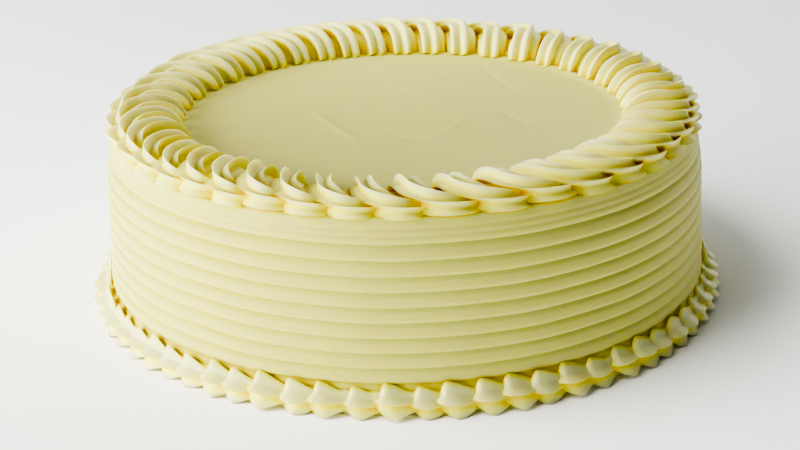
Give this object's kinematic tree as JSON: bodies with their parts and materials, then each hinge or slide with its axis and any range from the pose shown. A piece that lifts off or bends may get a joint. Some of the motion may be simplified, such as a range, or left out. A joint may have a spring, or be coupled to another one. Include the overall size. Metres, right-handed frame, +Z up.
{
  "type": "round buttercream layer cake",
  "caption": "Round uncut layer cake iced in pale yellow buttercream, with a combed wall, a smooth top, a piped rope border and small piped shells at the foot.",
  "frame": {"origin": "centre of the flat base that the cake stands on", "axes": "+Z is up along the cake's axis, and the side that the picture shows in front faces -Y"},
  "size_m": [0.2531, 0.2533, 0.08],
  "materials": {
    "wall_icing": "spread and combed pale yellow buttercream, satin",
    "rope_icing": "star-tip piped pale yellow buttercream, satin",
    "shell_icing": "small star-tip piped pale yellow buttercream, satin"
  },
  "bodies": {
    "root": {"cake_body": "wall_icing", "top_border": "rope_icing", "bottom_border": "shell_icing"}
  },
  "joints": []
}
